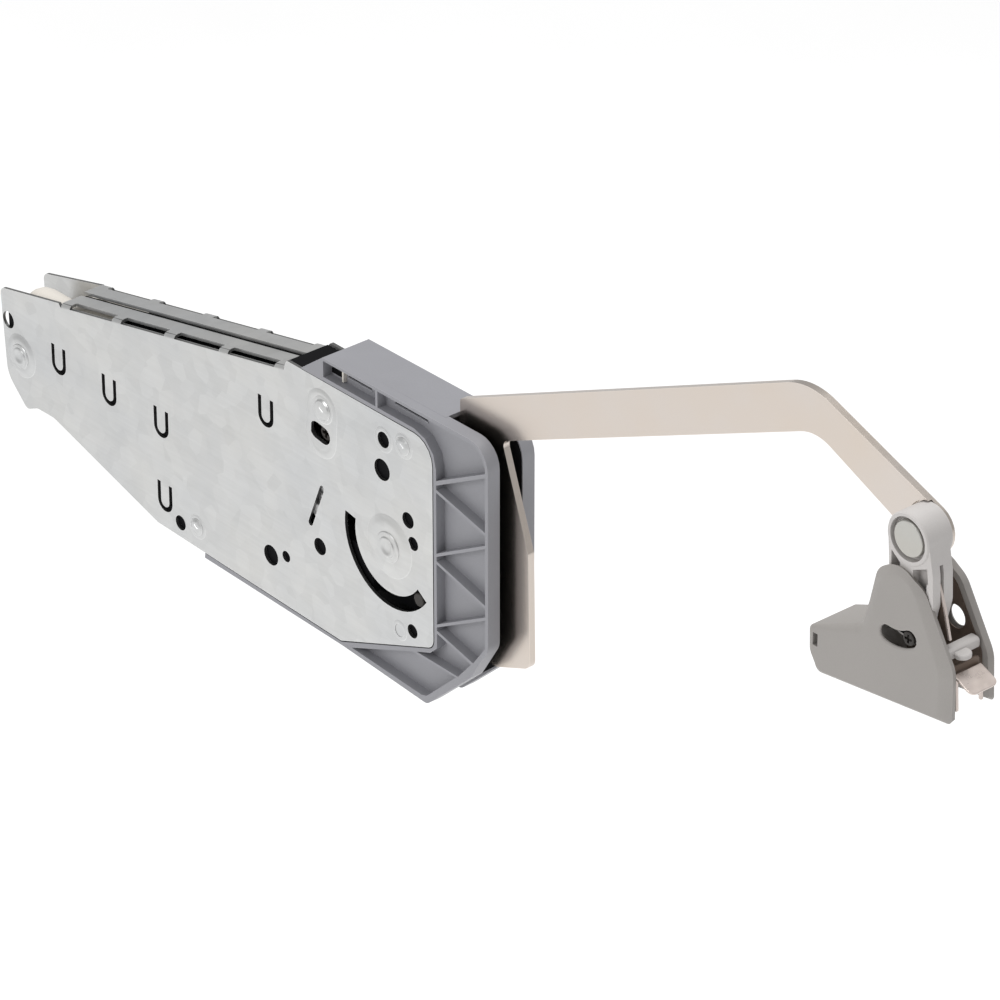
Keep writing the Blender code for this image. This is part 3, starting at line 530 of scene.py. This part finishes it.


def painted_shade_sheets():
    """Painted shade: black sheets behind the plates' holes, under the roof and the seam, and along the arm's
    slot, where the body's inside lies in shade.
    """
    bm = bmesh.new()
    rim = fillet([
        (-233.0, top_line(-233.0) - 3.0), (-197.0, top_line(-197.0) - 2.8), (-59.0, top_line(-59.0) - 2.8),
        (-57.0, 51.0), (22.6, 51.0, 8.0), (22.6, -31.0, 4.0), (-28.6, -51.2, 3.0), (-139.0, -48.6, 5.0),
        (-204.0, -30.0, 10.0), (-232.0, -27.0, 8.0),
    ])
    r0, r1, a0, a1 = TRACK
    track = arc(0.0, 0.0, r1 + 0.8, a0 - 3.0, a1 + 3.0, 30) + arc(0.0, 0.0, r0 - 0.8, a1 + 3.0, a0 - 3.0, 24)
    holes = [track, stadium(*INDICATOR, 2.0), stadium(*FORCE_WINDOW, 4.2)]
    holes += [circle(*MAIN_PIVOT, 3.5, 24), circle(*REAR_PIVOT, 3.5, 24), circle(*UPPER_RIVET, 3.1, 20)]
    holes += [circle(*LOWER_RIVET, 2.6, 16), circle(*FRONT_RIVET, 2.6, 16)]
    slab(bm, rim, SHEET + SHADE_SHEET_GAP, SHEET + SHADE_SHEET_BACK, holes)
    new_piece("plate_painted_shade", bm, "painted_shade", "housing")

    bm = bmesh.new()
    slab(bm, [(-52.0, -20.0), (-30.0, -20.0), (-20.0, -33.0), (8.0, -34.0), (-28.0, -48.5), (-52.0, -48.5)],
         BODY_W - SHEET - SHADE_SHEET_BACK, BODY_W - SHEET - SHADE_SHEET_GAP)
    new_piece("far_plate_painted_shade", bm, "painted_shade", "housing")

    bm = bmesh.new()
    run = [(-162.0, -3.1), (-60.0, -3.1), (-60.0, -3.5), (-162.0, -3.5)]
    slab(bm, [(x, top_line(x) + dz) for x, dz in run], 1.9, BODY_W - 1.9)
    new_piece("roof_painted_shade", bm, "painted_shade", "housing")

    bm = bmesh.new()
    slab(bm, [(-58.9, 51.9), (-45.0, 51.9), (-38.0, 58.0), (-38.0, 57.6), (-44.6, 51.4), (-58.9, 51.4)],
         1.5, BODY_W - 1.5)
    new_piece("neck_painted_shade", bm, "painted_shade", "housing")

    bm = bmesh.new()
    run = [(-195.0, -1.6), (-60.0, -1.6), (-60.0, -0.3), (-195.0, -0.3)]
    slab(bm, [(x, top_line(x) + dz) for x, dz in run], 10.35, 11.65)
    new_piece("seam_painted_shade", bm, "painted_shade", "housing")

    # painted shade: the housing halves' inner faces beside the arm are drawn black
    front = HOUSING_FRONT - 0.4
    inner = fillet([
        (27.6, DECK_TOP - 0.5), (front, DECK_TOP - 0.5, 10.0), (front, -19.3, 7.6), (44.7, -34.9, 5.6),
        (26.0, -50.8),
    ])
    for name, y0 in (("near_slot_painted_shade", 5.66), ("far_slot_painted_shade", BODY_W - 5.96)):
        bm = bmesh.new()
        slab(bm, inner, y0, y0 + 0.3)
        new_piece(name, bm, "painted_shade", "housing")


def setting_strip():
    """Bright scraped strip behind the slanted slot, carried by the pointer nut."""
    bm = bmesh.new()
    slab(bm, stadium(-38.4, 7.4, -43.6, -5.6, 2.0), 1.72, 2.02)
    new_piece("setting_strip", bm, "scraped_steel", "force_pointer", 0.1)


# ---------------------------------------------------------------- pressed detail on the open plate
def pressings():
    """Soft rings round the pivots, the rivets and the pressed island."""
    rings = (
        ("main_boss_ring", (*MAIN_PIVOT, *MAIN_PIVOT), 11.5,
         ((1.4, -0.1), (1.2, 0.02), (0.6, 0.12), (-0.2, 0.3), (-1.2, 0.58), (-2.1, 0.76), (-3.2, 0.8),
          (-4.4, 0.78), (-4.9, 0.72), (-5.4, 0.72), (-5.4, -0.1))),
        ("rear_boss_ring", (*REAR_PIVOT, *REAR_PIVOT), 8.2,
         ((1.2, -0.1), (1.0, 0.02), (0.4, 0.16), (-0.3, 0.4), (-1.0, 0.68), (-1.7, 0.77), (-2.6, 0.74),
          (-2.9, 0.72), (-2.9, -0.1))),
        ("island_ring", (-38.2, 29.4, -37.4, 40.6), 7.4,
         ((1.5, -0.1), (1.3, 0.02), (0.8, 0.14), (0.2, 0.32), (-0.3, 0.4), (-0.9, 0.4), (-1.7, 0.36),
          (-1.9, 0.3), (-1.9, -0.1))),
        ("upper_rivet_ring", (*UPPER_RIVET, *UPPER_RIVET), 5.2,
         ((0.6, 0.3), (0.5, 0.37), (0.1, 0.47), (-0.4, 0.57), (-0.9, 0.6), (-0.9, 0.3))),
        ("lower_rivet_ring", (*LOWER_RIVET, *LOWER_RIVET), 4.5,
         ((0.7, -0.1), (0.6, 0.02), (0.2, 0.12), (-0.3, 0.24), (-0.8, 0.26), (-0.8, -0.1))),
        ("front_rivet_ring", (*FRONT_RIVET, *FRONT_RIVET), 4.5,
         ((0.7, -0.1), (0.6, 0.02), (0.2, 0.12), (-0.3, 0.24), (-0.8, 0.26), (-0.8, -0.1))),
        ("blank_dimple_ring", (5.5, -33.1, 5.5, -33.1), 3.5,
         ((0.8, -0.1), (0.6, 0.02), (0.2, 0.1), (-0.3, 0.17), (-0.9, 0.12), (-1.0, -0.1))),
        ("countersink_ring", (-2.7, 43.0, -2.7, 43.0), 4.4,
         ((0.9, -0.1), (0.7, 0.02), (0.2, 0.12), (-0.4, 0.14), (-1.0, 0.05), (-1.1, -0.1))),
    )
    for name, ends, radius, profile in rings:
        bm = bmesh.new()
        pressed_ring(bm, ends, radius, profile)
        new_piece(name, bm, "zinc_sheet", "housing")


def pivot_heads():
    """Riveted shaft ends: a flat collar, a raised rim and a centre dimple."""
    inner = BODY_W - SHEET - 0.3
    bm = bmesh.new()
    lathe(bm, [(-1.0, 0.6), (-1.08, 1.6), (-1.3, 2.4), (-1.62, 3.0), (-1.7, 3.5), (-1.6, 3.9), (-1.2, 4.2),
               (-1.14, 4.8), (-1.18, 5.4), (-1.08, 5.9), (-0.75, 6.2), (-0.72, 3.0), (1.6, 3.0), (1.6, 5.0),
               (inner, 5.0)], *MAIN_PIVOT, 64)
    new_piece("main_pivot_shaft", bm, "zinc_sheet", "housing", 0.06, ("main_pivot_pin",))
    bm = bmesh.new()
    lathe(bm, [(-0.95, 0.5), (-1.0, 1.3), (-1.2, 2.0), (-1.5, 2.6), (-1.58, 3.1), (-1.45, 3.5), (-1.1, 3.8),
               (-1.08, 4.4), (-1.05, 4.9), (-0.75, 5.2), (-0.72, 3.0), (inner, 3.0)], *REAR_PIVOT, 56)
    new_piece("rear_pivot_shaft", bm, "zinc_sheet", "housing", 0.06, ("rear_pivot_pin",))


def rivet_marks():
    """Three-sided punch marks in the rivet heads."""
    for name, (x, z), top in (("upper", UPPER_RIVET, 1.5), ("lower", LOWER_RIVET, 1.0),
                              ("front", FRONT_RIVET, 1.0)):
        bm = bmesh.new()
        low = [bm.verts.new(point(px, -top + 0.15, pz)) for px, pz in circle(x, z, 1.9, 3)]
        high = [bm.verts.new(point(px, -top - 0.22, pz)) for px, pz in circle(x, z, 1.1, 3)]
        bridge(bm, low, high)
        bm.faces.new(low)
        bm.faces.new(high)
        new_piece(name + "_rivet_mark", bm, "zinc_sheet", "housing", 0.05)


# ---------------------------------------------------------------- small features of the housing's pockets
def pocket_details():
    """Latch opening, its clip and the narrow slots in the floor of the long pockets; the opening and the
    slots are dark slabs of painted shade.
    """
    floor_y = 4.1
    for name, x0, x1, z0, z1, y0, material, slot in (
            ("latch_opening", -36.2, -28.6, 55.6, 61.4, floor_y - 0.12, "painted_shade", "black_plastic"),
            ("latch_clip", -28.5, -27.7, 55.2, 61.4, floor_y - 1.7, "white_plastic", "white_plastic"),
            ("latch_slot", -26.6, -13.6, 57.6, 58.3, floor_y - 0.1, "painted_shade", "black_plastic"),
            ("front_pocket_slot", -0.5, 17.5, 57.7, 58.3, floor_y - 0.1, "painted_shade", "black_plastic")):
        bm = bmesh.new()
        slab(bm, [(x0, z0), (x1, z0), (x1, z1), (x0, z1)], y0, floor_y + 0.05)
        new_piece(name, bm, material, "housing", 0.05)
    for name, x0, x1, z in (("latch_slot_lip", -27.2, -13.0, 57.1), ("front_slot_lip", -1.0, 18.0, 57.2)):
        bm = bmesh.new()
        slab(bm, [(x0, z - 0.3), (x1, z - 0.3), (x1, z + 0.3), (x0, z + 0.3)], floor_y - 0.4, floor_y + 0.05)
        new_piece(name, bm, "grey_housing", "housing", 0.15)


# ---------------------------------------------------------------- door bracket
# each: outer corner and its fillet, flat face's corner and its fillet, depth of the rounding, roofed over
NEAR_CORNERS = (
    ((218.8, 67.0, 2.0), (219.8, 66.0, 1.2), 1.0, True),
    ((219.1, 57.5, 6.0), (220.1, 57.8, 5.0), 1.0, True),
    ((223.3, 51.0, 3.0), (224.0, 51.9, 2.4), 0.4, False),
    ((285.0, 58.7, 2.0), (279.2, 58.9, 1.2), 0.8, False),
    ((283.8, 77.6, 12.0), (278.2, 75.8, 9.0), 1.7, False),
    ((270.2, 100.8, 10.0), (266.0, 100.2, 8.0), 1.7, False),
    ((258.0, 108.9, 10.5), (258.0, 106.3, 7.6), 1.0, False),
    ((248.4, 101.4, 8.0), (251.9, 99.4, 6.5), 1.4, False),
    ((242.0, 77.4, 6.0), (245.6, 74.8, 6.5), 2.4, True),
)
FAR_CORNERS = (
    ((219.0, 67.0, 2.0), (220.0, 66.0, 1.2), 1.0, True),
    ((219.3, 57.5, 6.0), (220.3, 57.8, 5.0), 1.0, True),
    ((223.4, 51.3, 3.0), (224.1, 52.2, 2.4), 0.4, False),
    ((284.6, 59.8, 2.0), (283.9, 60.4, 1.4), 0.5, False),
    ((283.6, 77.8, 12.0), (282.8, 77.4, 11.0), 0.5, False),
    ((270.0, 100.4, 10.0), (269.1, 99.8, 9.0), 0.5, False),
    ((257.8, 107.6, 10.5), (257.7, 106.6, 9.8), 0.5, False),
    ((248.9, 100.4, 8.0), (249.9, 99.8, 7.2), 0.5, False),
    ((243.0, 77.8, 6.0), (245.0, 75.8, 6.5), 2.4, True),
)
WALL = 2.1                  # cover thickness
FAR_EAR_OUT = 0.8           # the far ear stands this far outside the CAD cover
COVER_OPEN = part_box("bracket_cover")[0].y / MM + BODY_W
COVER_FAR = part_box("bracket_cover")[1].y / MM + BODY_W + FAR_EAR_OUT
EAR_HOLE = (267.5, 85.0)
TILT_SLOT = (15.2, 262.0, 303.0)  # the near ear's curved slot about the tilt axis: radius, angles
ROUNDING = 6                # rings from an ear's flat face to its edge
FILLET_STEPS = 6
ROOFED = [corner[3] for corner in NEAR_CORNERS for _ in range(FILLET_STEPS + 1)]


def cover_side(bm, corners, outer_y, inward, holes):
    """One ear: its flat face with holes, and rings of points rounding over to its edge."""
    outer = fillet([corner[0] for corner in corners], FILLET_STEPS)
    flat = fillet([corner[1] for corner in corners], FILLET_STEPS)
    depths = [corner[2] for corner in corners for _ in range(FILLET_STEPS + 1)]
    rings = []
    for step in range(ROUNDING + 1):
        t = step / ROUNDING
        round_over = (math.sin(math.pi / 2 * t), 1.0 - math.cos(math.pi / 2 * t))
        facet = (t, t ** 1.25)
        ring = []
        for (ox, oz), (fx, fz), depth, roofed in zip(outer, flat, depths, ROOFED):
            reach, drop = round_over if roofed else facet
            place = point(fx + (ox - fx) * reach, outer_y + inward * drop * depth, fz + (oz - fz) * reach)
            ring.append(bm.verts.new(place))
        rings.append(ring)
    for low, high in zip(rings, rings[1:]):
        bridge(bm, low, high)
    rims = []
    for hole in holes:
        loops = [[bm.verts.new(point(x, outer_y + inward * sink, z)) for x, z in loop] for loop, sink in hole]
        for low, high in zip(loops, loops[1:]):
            bridge(bm, low, high)
        rims.append(loops[0])
    flat_face(bm, [rings[0], *rims])
    return rings[-1]


def bracket_cover():
    """Two ears joined by a roof and a rear wall, open at the front and below."""
    radius, start, end = TILT_SLOT
    slot = [(curved_slot(*TILT_AXIS, radius, half, start, end), sink)
            for half, sink in ((3.8, 0.0), (3.4, 0.1), (3.1, 0.35), (3.0, 0.8))]
    window = [([(220.9, 60.4), (223.2, 60.4), (223.2, 65.2), (220.9, 65.2)], 0.0)]
    hole = [(circle(*EAR_HOLE, size), sink) for size, sink in ((4.4, 0.0), (4.0, 0.15), (3.9, 0.6))]
    bm = bmesh.new()
    near = cover_side(bm, NEAR_CORNERS, COVER_OPEN, 1.0, [slot, window])
    far = cover_side(bm, FAR_CORNERS, COVER_FAR, -1.0, [hole])
    for k in range(len(near)):
        if ROOFED[k - 1] and ROOFED[k]:
            bm.faces.new((near[k - 1], near[k], far[k], far[k - 1]))
    bmesh.ops.recalc_face_normals(bm, faces=bm.faces)
    nearest_face = min(bm.faces, key=lambda f: f.calc_center_median().y)
    if nearest_face.normal.y > 0.0:
        bmesh.ops.reverse_faces(bm, faces=bm.faces)
    obj = mesh_object("bracket_shell", bm, MATERIALS["cover_plastic"])
    shell = obj.modifiers.new("wall", "SOLIDIFY")
    shell.thickness = WALL * MM
    shell.offset = -1.0
    shell.use_even_offset = True
    soften(obj, 0.35)
    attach(obj, "bracket")
    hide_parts("bracket_cover")


def leaning_plate(bm, outline, x, z, lean, thickness):
    """Flat plate from (run, depth) corners, whose run starts at (x, z) and climbs at `lean` degrees."""
    run = Vector((math.cos(math.radians(lean)), math.sin(math.radians(lean))))
    across = Vector((-run.y, run.x)) * thickness
    sides = []
    for shift in (Vector((0.0, 0.0)), across):
        ring = []
        for u, depth in outline:
            ring.append(bm.verts.new(point(x + run.x * u + shift.x, depth, z + run.y * u + shift.y)))
        bm.faces.new(ring)
        sides.append(ring)
    bridge(bm, *sides)


def release_lever():
    """Bent spring sheet: pressing tab with rounded corners, an upright behind it and two legs."""
    y0, y1 = 2.3, 14.8
    bm = bmesh.new()
    tab = fillet([(0.0, y0), (9.4, y0, 2.4), (9.4, y1, 2.4), (0.0, y1)], 6)
    leaning_plate(bm, tab, 281.3, 73.9, -22.0, 0.9)
    for depth in (y0, y1 - 1.2):
        leaning_plate(bm, [(0.0, depth), (11.6, depth), (11.6, depth + 1.2), (0.0, depth + 1.2)],
                      281.6, 73.2, -86.0, 1.2)
    new_piece("release_tab", bm, "yellow_zinc", "release", 0.22, ("release_lever",))
    bm = bmesh.new()
    # painted shade: the upright behind the tab is drawn dark brown
    upright = fillet([(0.0, y0), (7.6, y0, 1.5), (7.6, y1, 1.5), (0.0, y1)], 4)
    leaning_plate(bm, upright, 281.0, 69.8, 90.0, 0.8)
    new_piece("release_upright", bm, "brown_shade", "release", 0.15)


def link_shade():
    """Painted shade: a dark pad in the link's recess, round the tilt screw."""
    bm = bmesh.new()
    slab(bm, fillet([(253.6, 91.0), (253.6, 79.4, 2.0), (268.2, 78.2, 2.0), (270.6, 91.0)], 4), 3.3, 3.92,
         [circle(*TILT_SCREW, 2.2, 20)])
    new_piece("link_recess_painted_shade", bm, "painted_shade", "link", 0.05)


def link_rib():
    """The link's near cheek, carried down behind the cover's ear."""
    bm = bmesh.new()
    cheek = fillet([
        (269.3, 104.0), (272.3, 106.0), (272.9, 97.0, 6.0), (270.0, 78.4), (266.8, 78.4), (269.4, 97.0),
    ])
    slab(bm, cheek, 0.55, 3.66)
    new_piece("link_near_cheek", bm, "link_plastic", "link", 0.4)


def blade():
    """Thin plate in the link's groove: brown faces painted with a dark reflection, and a bright edge."""
    plate = [(270.9, 103.4), (271.5, 103.6), (274.6, 95.4), (277.4, 85.2), (272.6, 85.2), (270.4, 95.0)]
    edge = [(271.2, 103.7), (271.7, 103.7), (274.8, 95.5), (277.6, 85.2), (276.7, 85.2), (274.0, 95.3)]
    bm = bmesh.new()
    slab(bm, plate, 4.1, 4.9)
    new_piece("blade_plate_painted_reflection", bm, "brown_shade", "link", 0.05, ("link_blade",))
    bm = bmesh.new()
    slab(bm, edge, 4.0, 5.0)
    new_piece("blade_edge", bm, "yellow_zinc", "link", 0.08)


def ear_painted_shade():
    """Painted shade: a brown sheet on the inner face of the cover's far ear."""
    inner = COVER_FAR - WALL
    bm = bmesh.new()
    slab(bm, fillet([
        (246.0, 60.0), (280.4, 63.0), (279.8, 77.0, 9.0), (267.2, 97.4, 8.0), (257.6, 104.2, 7.5),
        (252.0, 98.4, 6.0), (247.0, 78.0, 5.0),
    ]), inner - 0.35, inner - 0.02, [circle(*EAR_HOLE, 4.3)])
    new_piece("far_ear_painted_shade", bm, "brown_shade", "bracket", 0.1)


def add_details():
    painted_shade_sheets()
    setting_strip()
    pressings()
    pivot_heads()
    rivet_marks()
    pocket_details()
    bracket_cover()
    release_lever()
    link_shade()
    link_rib()
    blade()
    ear_painted_shade()


add_details()


# ---------------------------------------------------------------- stage, light, camera
# the photo's camera, fitted to the object's outlines
CAMERA_PLACE = Vector((1.32724, -1.12124, 1.00350))
CAMERA_RIGHT = Vector((0.65561514, 0.75509522, 0.0))
CAMERA_UP = Vector((-0.37453906, 0.32519538, 0.86831357))
CAMERA_LENS = 198.0

FLOOR_DROP = 0.45            # the floor lies this far below the object's lowest point
ORIGIN = (0.0, 0.0, 0.0)


def camera():
    data = bpy.data.cameras.new("camera")
    data.lens = CAMERA_LENS
    data.sensor_width = 36.0
    data.clip_end = 20.0
    obj = bpy.data.objects.new("camera", data)
    bpy.context.scene.collection.objects.link(obj)
    back = CAMERA_RIGHT.cross(CAMERA_UP)
    place = Matrix((CAMERA_RIGHT, CAMERA_UP, back)).transposed().to_4x4()
    place.translation = CAMERA_PLACE
    obj.matrix_world = place
    bpy.context.scene.camera = obj


def floor():
    mat, tree, shader = new_material("floor_pale")
    tone = ramp(tree, noise(tree, object_space(tree), 3.0), [(0.3, grey(0.93)), (0.7, grey(0.96))])
    tree.links.new(tone, shader.inputs["Base Color"])
    shader.inputs["Roughness"].default_value = 0.9
    shader.inputs["Emission Color"].default_value = (1.0, 1.0, 1.0, 1.0)
    shader.inputs["Emission Strength"].default_value = 0.3
    bm = bmesh.new()
    bmesh.ops.create_grid(bm, x_segments=4, y_segments=4, size=6.0)
    obj = mesh_object("floor", bm, mat)
    obj.location = (0.0, 0.0, CAD_BOX[0][2] - FLOOR_DROP)


def area_light(name, place, aim, size, power):
    data = bpy.data.lights.new(name, "AREA")
    data.shape = "DISK"
    data.size = size
    data.energy = power
    obj = bpy.data.objects.new(name, data)
    obj.location = place
    obj.rotation_euler = (Vector(aim) - Vector(place)).to_track_quat("-Z", "Y").to_euler()
    bpy.context.scene.collection.objects.link(obj)


def lights():
    world = bpy.data.worlds.new("studio")
    world.use_nodes = True
    world.node_tree.nodes["Background"].inputs["Color"].default_value = (1.0, 1.0, 1.0, 1.0)
    world.node_tree.nodes["Background"].inputs["Strength"].default_value = 0.5
    bpy.context.scene.world = world
    area_light("key", (-0.2, -1.6, 0.9), ORIGIN, 0.9, 8.0)
    area_light("top", (-0.2, 0.3, 1.8), ORIGIN, 1.2, 20.0)
    bpy.context.scene.view_settings.view_transform = "Standard"


camera()
floor()
lights()
